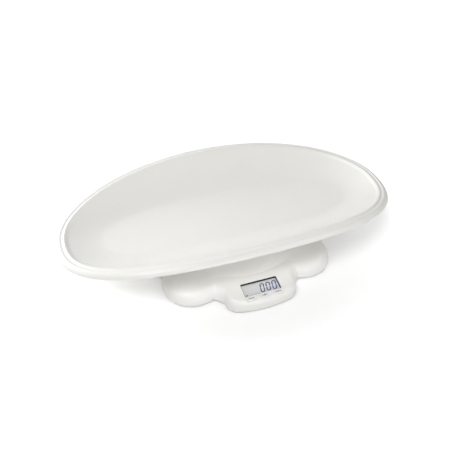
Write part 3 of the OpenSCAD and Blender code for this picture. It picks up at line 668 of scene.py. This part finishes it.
# An oval key with a soft upper edge, and the flange that holds it under the housing's wall.
def makeKey(side, name):
    d = display
    bm = bmesh.new()
    flangeTop = -base["wall"] - d["flangeGap"]
    prism(bm, stadiumPoints(d["keyLength"] + d["flangeOver"], d["keyWidth"] / 2, side * d["keyPitch"],
                            d["keyWidth"] / 4 - keyAt), flangeTop - d["flangeT"], flangeTop)
    proud = d["proud"]
    levels = [(0, flangeTop), (0, proud - 0.45), (0.12, proud - 0.2), (0.4, proud - 0.06),
              (0.9, proud), (1.6, proud), (2.3, proud)]
    closeRings(bm, [[bm.verts.new((*p, z)) for p in keyOutline(side, -2 * inset)] for inset, z in levels])
    mesh = meshOfBm(name, bm, consoleMatrix(), 40)
    node = "key_" + name[3:].lower()
    addPiece(name, mesh, node, finishes["keyWhite"], [node])


for side, name in ((-1, "keyLeft"), (0, "keyMiddle"), (1, "keyRight")):
    makeKey(side, name)


# Open is how far the opening widens at the top. The plate lies under the housing's wall.
bezel = {"open": 0.55, "openW": 55.7, "openD": 21.8, "plateD": 30, "plateY": 1.6, "floor": 0.7, "low": 0.35,
         "seatW": 2, "seatD": 1.2}


# A black frame whose walls thin out upwards, so that only the far side and the right show.
def makeBezel(look):
    deep, wall, low = display["glassDeep"], base["wall"], look["low"]
    body = bmesh.new()
    plateW = display["width"] + 2 * display["plateOver"]
    prism(body, roundedRect(plateW, look["plateD"], 0.6, look["plateY"]), -deep, -wall - low)
    rim = bmesh.new()
    rimW, rimD = display["width"] - 2 * fitGap, display["depth"] - 2 * fitGap
    prism(rim, roundedRect(rimW, rimD, 0.8), -wall - 0.6, -low)
    opening = bmesh.new()
    levels = ((-deep - 1, 0), (-deep + look["floor"], 0), (-0.3, look["open"]), (0.5, look["open"]))
    closeRings(opening, [[opening.verts.new((x, y, z)) for x, y in roundedRect(
        look["openW"] + 2 * grow, look["openD"] + 2 * grow, 0.4 + grow)] for z, grow in levels])
    seat = bmesh.new()
    prism(seat, roundedRect(display["width"] + look["seatW"], display["depth"] + look["seatD"], 0.6),
          -deep - 0.1, -deep + look["floor"])
    mesh = meshOfBm("windowFrame", body, consoleMatrix())
    obj = addPiece("windowFrame", mesh, "base", finishes["bezelBlack"], ["window_bezel"])
    cutOrJoin(obj, [meshOfBm("rim", rim, consoleMatrix())], "UNION")
    cutOrJoin(obj, [meshOfBm("opening", opening, consoleMatrix()), meshOfBm("seat", seat, consoleMatrix())],
              "DIFFERENCE")
    paint(obj, finishes["bezelBlack"])


makeBezel(bezel)


# Flat strokes of ink, each a closed sliver, on a plane of the console.
def inkPiece(name, shapes, z, thick, body, material):
    bm = bmesh.new()
    for shape in shapes:
        prism(bm, shape, z, z + thick)
    return addPiece(name, meshOfBm(name, bm, consoleMatrix()), body, material)


# Three zeros and, at the lower left, a small mark. Lean is how far a stroke moves right per height.
digits = {"height": 16, "width": 7.2, "step": 9.6, "right": 24.2, "low": -8.2, "stroke": 1.85, "gap": 0.12,
          "lean": 0.16, "count": 3, "segments": "abcdef", "sink": 0.02, "thick": 0.06,
          "mark": [(-26.6, -8.5), (-22.9, -8.2), (-22.6, -6.9), (-26.2, -7.1)]}


def segmentShapes(x, y, on):
    h, w, t, g = digits["height"], digits["width"], digits["stroke"], digits["gap"]
    m = h / 2

    def bar(x0, x1, yc):
        return [(x0 + g, yc), (x0 + g + t / 2, yc - t / 2), (x1 - g - t / 2, yc - t / 2), (x1 - g, yc),
                (x1 - g - t / 2, yc + t / 2), (x0 + g + t / 2, yc + t / 2)]

    def post(xc, y0, y1):
        return [(xc, y0 + g), (xc + t / 2, y0 + g + t / 2), (xc + t / 2, y1 - g - t / 2), (xc, y1 - g),
                (xc - t / 2, y1 - g - t / 2), (xc - t / 2, y0 + g + t / 2)]

    l, r = t / 2, w - t / 2
    b, top = t / 2, h - t / 2
    parts = {"a": bar(l, r, top), "b": post(r, m, top), "c": post(r, b, m), "d": bar(l, r, b),
             "e": post(l, b, m), "f": post(l, m, top), "g": bar(l, r, m)}
    return [[(x + px + digits["lean"] * py, y + py) for px, py in parts[k]] for k in on]


def makeDigits(look):
    shapes = []
    for k in range(look["count"]):
        x = look["right"] - look["width"] - k * look["step"]
        shapes += segmentShapes(x, look["low"], look["segments"])
    shapes.append(look["mark"])
    inkPiece("displayDigits", shapes, -display["glassDeep"] - fitGap + look["sink"], look["thick"],
             "base", finishes["segmentInk"])


makeDigits(digits)


# A double arrow, a ring with a stroke between two dashes, and a zero between two arrows.
def makeKeySigns(thick=0.03):
    z = display["proud"] + 0.005
    y = -keyAt + 0.35
    p = display["keyPitch"]

    def line(x0, y0, x1, y1, w=0.7):
        dx, dy = x1 - x0, y1 - y0
        n = math.hypot(dx, dy)
        ox, oy = -dy / n * w / 2, dx / n * w / 2
        return [(x0 + ox, y0 + oy), (x0 - ox, y0 - oy), (x1 - ox, y1 - oy), (x1 + ox, y1 + oy)]

    def head(x, yc, way):
        return [(x, yc), (x - way * 1.6, yc + 1.1), (x - way * 1.6, yc - 1.1)][::way]

    left, right = -p, p
    shapes = [line(left - 3.0, y, left + 3.0, y, 0.8), head(left - 4.6, y, -1), head(left + 4.6, y, 1)]
    inkPiece("signLeft", shapes, z, thick, "key_left", finishes["inkDark"])
    ring = []
    inner, outer, steps = 0.75, 1.4, 14
    for k in range(steps):
        a0, a1 = [math.radians(120 + 300 * (k + i) / steps) for i in (0, 1)]
        ring.append([(r * math.cos(a), y + r * math.sin(a))
                     for r, a in ((inner, a0), (outer, a0), (outer, a1), (inner, a1))])
    ring.append(line(0, y + 0.3, 0, y + 1.7))
    ring += [line(-4.2, y, -2.1, y, 0.8), line(2.1, y, 4.2, y, 0.8)]
    inkPiece("signMiddle", ring, z, thick, "key_middle", finishes["inkDark"])
    zero = []
    steps = 18
    for k in range(steps):
        a0, a1 = [2 * math.pi * (k + i) / steps for i in (0, 1)]
        c0, s0, c1, s1 = math.cos(a0), math.sin(a0), math.cos(a1), math.sin(a1)
        zero.append([(right + 0.6 * c0, y + 0.9 * s0), (right + 1.15 * c0, y + 1.5 * s0),
                     (right + 1.15 * c1, y + 1.5 * s1), (right + 0.6 * c1, y + 0.9 * s1)])
    zero += [line(right - 4.6, y, right - 3.3, y, 0.7), head(right - 1.8, y, 1),
             line(right + 4.6, y, right + 3.3, y, 0.7), head(right + 1.8, y, -1)]
    inkPiece("signRight", zero, z, thick, "key_right", finishes["inkDark"])


makeKeySigns()
print("keys and display made")


# Round tubes along the given paths, all in one piece.
def tube(name, paths, radius, body, material, replaced, sides=12, smoothSteps=6):
    points, faces = [], []
    for path in paths:
        path = smoothThrough(path, smoothSteps) if smoothSteps else [np.array(p, float) for p in path]
        start = len(points)
        count = len(path)
        normal = None
        for i, p in enumerate(path):
            d = path[min(i + 1, count - 1)] - path[max(i - 1, 0)]
            d = d / np.linalg.norm(d)
            if normal is None:
                normal = np.cross(d, [0, 0, 1] if abs(d[2]) < 0.9 else [1, 0, 0])
            normal = normal - d * np.dot(normal, d)
            normal = normal / np.linalg.norm(normal)
            side = np.cross(d, normal)
            for k in range(sides):
                a = 2 * math.pi * k / sides
                points.append((p + radius * (math.cos(a) * normal + math.sin(a) * side)) * mm)
        for i in range(count - 1):
            for k in range(sides):
                j = (k + 1) % sides
                faces.append((start + i * sides + k, start + i * sides + j, start + (i + 1) * sides + j,
                              start + (i + 1) * sides + k))
        faces.append([start + k for k in range(sides)][::-1])
        faces.append([start + (count - 1) * sides + k for k in range(sides)])
    addPiece(name, meshFrom(name, points, faces, 50), body, material, replaced)


# The battery box and its springs, at the places that they have in the frame.
battery = {"diameter": 10.5, "length": 44.5, "count": 4, "y": 30, "spare": 0.5, "contactT": 0.5,
           "spring": 4.5, "springR": 3.7, "springTopR": 2.2, "wireR": 0.4, "turns": 3, "turnSteps": 24,
           "doorT": 2, "ledgeT": 1.3, "hookGap": 0.5, "hookT": 1.2, "cellGap": 0.4}
boxX = battery["count"] * (battery["diameter"] + battery["spare"]) + 1
boxY = battery["length"] + battery["spring"] + 2 * battery["contactT"] + 0.1
boxFront = battery["y"] - boxY / 2
hookZ = base["gap"] + battery["doorT"] + fitGap + battery["ledgeT"] + battery["hookGap"]
cellZ = hookZ + battery["hookT"] + battery["cellGap"] + battery["diameter"] / 2


def cellX(i):
    return -boxX / 2 + boxX / battery["count"] * (i + 0.5)


def makeSprings(look):
    paths = []
    wire, steps = look["wireR"], look["turnSteps"]
    for i in range(look["count"]):
        way = -1 if i % 2 == 0 else 1
        foot = boxFront + look["contactT"] if way > 0 else boxFront + boxY - look["contactT"]
        path = []
        for k in range(look["turns"] * steps + 1):
            u = k / (look["turns"] * steps)
            r, a = look["springR"] - (look["springR"] - look["springTopR"]) * u, 2 * math.pi * k / steps
            rise = wire + (look["spring"] - 2 * wire) * u
            path.append((cellX(i) + r * math.cos(a), foot + way * rise, cellZ + r * math.sin(a)))
        paths.append(path)
    tube("cellSprings", paths, wire, "base", finishes["contactNickel"], ["battery_springs"], 8, 0)


makeSprings(battery)

# The leads lie on the cover, climb over the feet's collars and start on the load cells.
leads = {"cellR": 1.2, "boxR": 0.9, "loadCellZ": 9, "loadCellT": 1.6, "collarH": 9, "collarGap": 0.4,
         "boardY": 133.4, "boxBoardY": 133, "tabOut": 4.6}
leadZ = coverTop + fitGap + leads["cellR"]
overZ = base["gap"] + leads["collarH"] + leads["collarGap"] + leads["cellR"]
startZ = leads["loadCellZ"] + leads["loadCellT"] + 0.1 + leads["cellR"]


# The height just under the board, v in front of the base's middle.
def underBoard(v):
    tilt = math.radians(base["tilt"])
    return (consoleZ(display["at"]) + (display["at"] - v) / math.cos(tilt) * math.sin(tilt)
            - (display["boardDeep"] + display["boardT"]) * math.cos(tilt) - fitGap)


def makeLeads(look):
    v = look["boardY"]
    front = [(84, -98, startZ), (79, -98, startZ + 0.6), (74, -98, overZ + 0.2), (70, -99, overZ),
             (65, -103, leadZ + 2), (58, -108, leadZ), (46, -122, leadZ + 1), (34, -130, leadZ + 3),
             (29, -133, leadZ + 5), (28.4, -v, underBoard(v))]
    back = [(84, 98, startZ), (79, 98, startZ + 0.6), (74, 98, overZ + 0.2), (70, 97, overZ),
            (64, 92, leadZ + 2), (52, 78, leadZ), (40, 60, leadZ), (36, 40, leadZ), (36, -40, leadZ),
            (38, -100, leadZ), (37, -121, leadZ + 1), (26, -131, leadZ + 3), (20.6, -133, leadZ + 5),
            (20, -v, underBoard(v))]
    paths = [[(s * x, y, z) for x, y, z in path] for s in (-1, 1) for path in (front, back)]
    tube("loadCellLeads", paths, look["cellR"], "base", finishes["wireRed"], ["cell_leads"])
    v = look["boxBoardY"]
    paths = []
    for i in (1, 2):
        x, y = cellX(i), boxFront - look["tabOut"] - fitGap
        paths.append([(x, y, cellZ - 3.7), (x, y - 6, leadZ + 0.4), (x, -30, leadZ), (x * 1.4, -60, leadZ),
                      (x * 1.6, -112, leadZ), (x * 1.6, -128, leadZ + 2), (x * 1.6, -132.6, leadZ + 5),
                      (x * 1.6, -v, underBoard(v))])
    tube("boxLeads", paths, look["boxR"], "base", finishes["wireBlack"], ["battery_lead"])


makeLeads(leads)
print("springs and leads made")

# The cells lie head to tail, each between a contact plate and a spring.
for i in range(battery["count"]):
    low = boxFront + battery["contactT"] + (0 if i % 2 == 0 else battery["spring"])
    finishes[f"can{i}"] = batteryCan(f"can{i}", low * mm, (low + battery["length"]) * mm, i % 2 == 0)

# The nodes of the frame that are shown as they are.
nodeFinish = {"bottom_cover": "coverWhite", "battery_door": "coverWhite", "window_lens": "lens",
              "lcd_glass": "liquidCrystal", "lcd_holder": "holderWhite",
              "contact_strip": "zebra", "circuit_board": "board", "board_screws": "screwZinc",
              "housing_screws": "screwZinc", "switch_cases": "switchTin", "battery_contacts": "contactNickel"}
for corner in ("fl", "fr", "rl", "rr"):
    nodeFinish["load_cell_" + corner] = "cellSteel"
    nodeFinish["foot_" + corner] = "footWhite"
    nodeFinish["foot_pad_" + corner] = "padRubber"
for side in ("left", "middle", "right"):
    nodeFinish["plunger_" + side] = "plungerBlack"
for i in range(battery["count"]):
    nodeFinish[f"battery_{i + 1}"] = f"can{i}"
for node, finish in nodeFinish.items():
    paint(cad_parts[node], finishes[finish])
print("nodes finished:", len(nodeFinish))


# Lamps: azimuth, elevation and watts. Lengths here are in metres. Each glow is a distance from the
# middle of the scale and how much white the floor gives off there to the camera. This glow is painted
# light: it is weak near the scale, so that the scale's shadows show there, and strongest far out,
# where the lamps' light falls off.
studio = {"lampSize": 1.0, "lampAway": 2.2, "aimZ": 0.05, "floorHalf": 20, "floorColour": 0.9,
          "mirrored": 0.3, "glow": [(0.17, 0.20), (0.36, 0.62), (1.5, 1.0)],
          "lamps": {"lampAbove": (-45, 60, 24.5), "lampLow": (0, 15, 10.5), "lampLeftBack": (-135, 22, 38.5),
                    "lampRightFront": (45, 35, 8.0), "lampRight": (90, 30, 2.4), "lampBack": (180, 45, 2.7)}}


# A square lamp towards the given azimuth and elevation, aimed at the scale.
def areaLamp(name, azimuth, elevation, power, look):
    data = bpy.data.lights.new(name, "AREA")
    data.size = look["lampSize"]
    data.energy = power
    obj = bpy.data.objects.new(name, data)
    scene.collection.objects.link(obj)
    away = towards(azimuth, elevation)
    obj.location = Vector((0, 0, look["aimZ"])) + away * look["lampAway"]
    obj.rotation_euler = away.to_track_quat("Z", "Y").to_euler()


# 1 for what the camera sees directly, less for what shows in a reflection or through the lens, and 0
# for light that falls on the scale.
def seenRays(tree, mirrored):
    path = tree.nodes.new("ShaderNodeLightPath")
    total = path.outputs["Is Camera Ray"]
    for name in ("Is Glossy Ray", "Is Transmission Ray"):
        add = tree.nodes.new("ShaderNodeMath")
        add.operation = "MULTIPLY_ADD"
        add.use_clamp = True
        link(tree, path.outputs[name], add.inputs[0])
        add.inputs[1].default_value = mirrored
        link(tree, total, add.inputs[2])
        total = add.outputs[0]
    return total


def makeStudio(look):
    world = bpy.data.worlds.new("studio")
    scene.world = world
    world.use_nodes = True
    tree = world.node_tree
    back = tree.nodes["Background"]
    back.inputs["Color"].default_value = (1, 1, 1, 1)
    link(tree, seenRays(tree, look["mirrored"]), back.inputs["Strength"])
    for name, (azimuth, elevation, power) in look["lamps"].items():
        areaLamp(name, azimuth, elevation, power, look)
    mesh = bpy.data.meshes.new("floor")
    h = look["floorHalf"]
    mesh.from_pydata([(-h, -h, 0), (h, -h, 0), (h, h, 0), (-h, h, 0)], [], [(0, 1, 2, 3)])
    floor = bpy.data.objects.new("floor", mesh)
    scene.collection.objects.link(floor)
    mat, tree, shader = nodesOf("floorWhite")
    shader.inputs["Base Color"].default_value = (*[look["floorColour"]] * 3, 1)
    shader.inputs["Roughness"].default_value = 1.0
    shader.inputs["Specular IOR Level"].default_value = 0.0
    shader.inputs["Emission Color"].default_value = (1, 1, 1, 1)
    away = tree.nodes.new("ShaderNodeVectorMath")
    away.operation = "LENGTH"
    link(tree, objectPlace(tree), away.inputs[0])
    reach = look["glow"][-1][0]
    # Painted light on the floor: its glow to the camera grows with distance from the scale, standing in for
    # lamp light that falls off far out.
    whiter = ramp(tree, spread(tree, away.outputs["Value"], 0, 1, 0, reach),
                  [(at / reach, (white, white, white)) for at, white in look["glow"]])
    glow = tree.nodes.new("ShaderNodeMath")
    glow.operation = "MULTIPLY"
    link(tree, seenRays(tree, look["mirrored"]), glow.inputs[0])
    link(tree, whiter, glow.inputs[1])
    link(tree, glow.outputs[0], shader.inputs["Emission Strength"])
    mesh.materials.append(mat)


makeStudio(studio)
scene.view_settings.view_transform = "Standard"
print("studio made")
